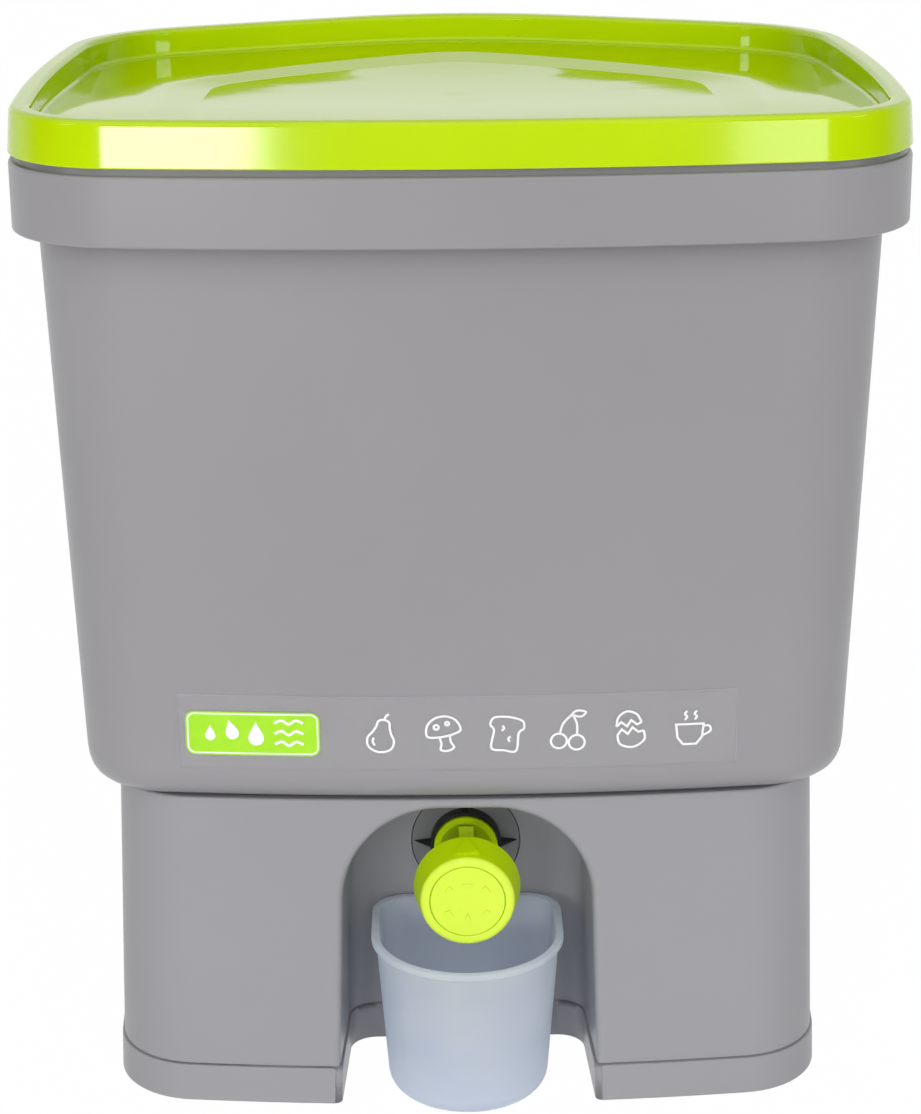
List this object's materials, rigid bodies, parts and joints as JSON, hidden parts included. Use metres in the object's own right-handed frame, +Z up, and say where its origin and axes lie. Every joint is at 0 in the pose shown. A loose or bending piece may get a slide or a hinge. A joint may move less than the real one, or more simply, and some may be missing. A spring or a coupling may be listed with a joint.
{
  "type": "bokashi bin",
  "caption": "Kitchen bokashi bin: grey bucket on a skirt stand, lime tray lid, lime drain tap in an arched alcove, translucent collecting cup.",
  "frame": {"origin": "Centre of the bounding box in X and Y, on the floor in Z.", "axes": "+Z is up and the longest extent, the tap and label face -Y, +X is to the right for a viewer in front of the bin who looks along +Y."},
  "size_m": [0.3198, 0.291, 0.3772],
  "materials": {
    "lid": "glossy lime polypropylene",
    "lid_seal": "soft pale elastomer",
    "bucket": "satin warm grey polypropylene",
    "stand": "satin grey polypropylene",
    "foot_ring": "satin grey polypropylene",
    "strainer": "satin grey polypropylene",
    "tap_plate": "satin grey polypropylene",
    "black_rubber": "soft black rubber",
    "tap_collar": "black polypropylene",
    "tap_barrel": "satin lime polypropylene",
    "tap_nut": "black polypropylene",
    "tap_spool": "natural acetal",
    "tap_knob": "satin lime polypropylene",
    "knob_screw": "stainless steel",
    "knob_disc": "satin lime polypropylene",
    "cup": "translucent natural polypropylene",
    "label_film": "clear printed film"
  },
  "bodies": {
    "base": {"bucket": "bucket", "stand": "stand", "foot_ring": "foot_ring", "label_film": "label_film", "tap_plate": "tap_plate", "plate_gasket": "black_rubber", "tap_collar": "tap_collar", "tap_barrel": "tap_barrel", "tap_washer": "black_rubber", "tap_nut": "tap_nut"},
    "lid": {"lid": "lid", "lid_seal": "lid_seal"},
    "strainer": {"strainer": "strainer"},
    "tap": {"tap_knob": "tap_knob", "knob_disc": "knob_disc", "knob_screw": "knob_screw", "tap_spool": "tap_spool", "spool_seal_rear": "black_rubber", "spool_seal_front": "black_rubber"},
    "cup": {"cup": "cup"}
  },
  "joints": [
    {"name": "lid_lift", "type": "slide", "parent": "base", "child": "lid", "axis": [0, 0, 1], "range_m": [0, 0.12]},
    {"name": "strainer_lift", "type": "slide", "parent": "base", "child": "strainer", "axis": [0, 0, 1], "range_m": [0, 0.2]},
    {"name": "tap_turn", "type": "hinge", "parent": "base", "child": "tap", "pos_m": [0, -0.1129, 0.085], "axis": [0, 1, 0], "range_deg": [0, 180]},
    {"name": "cup_out", "type": "slide", "parent": "base", "child": "cup", "axis": [0, -1, 0], "range_m": [0, 0.12]}
  ]
}
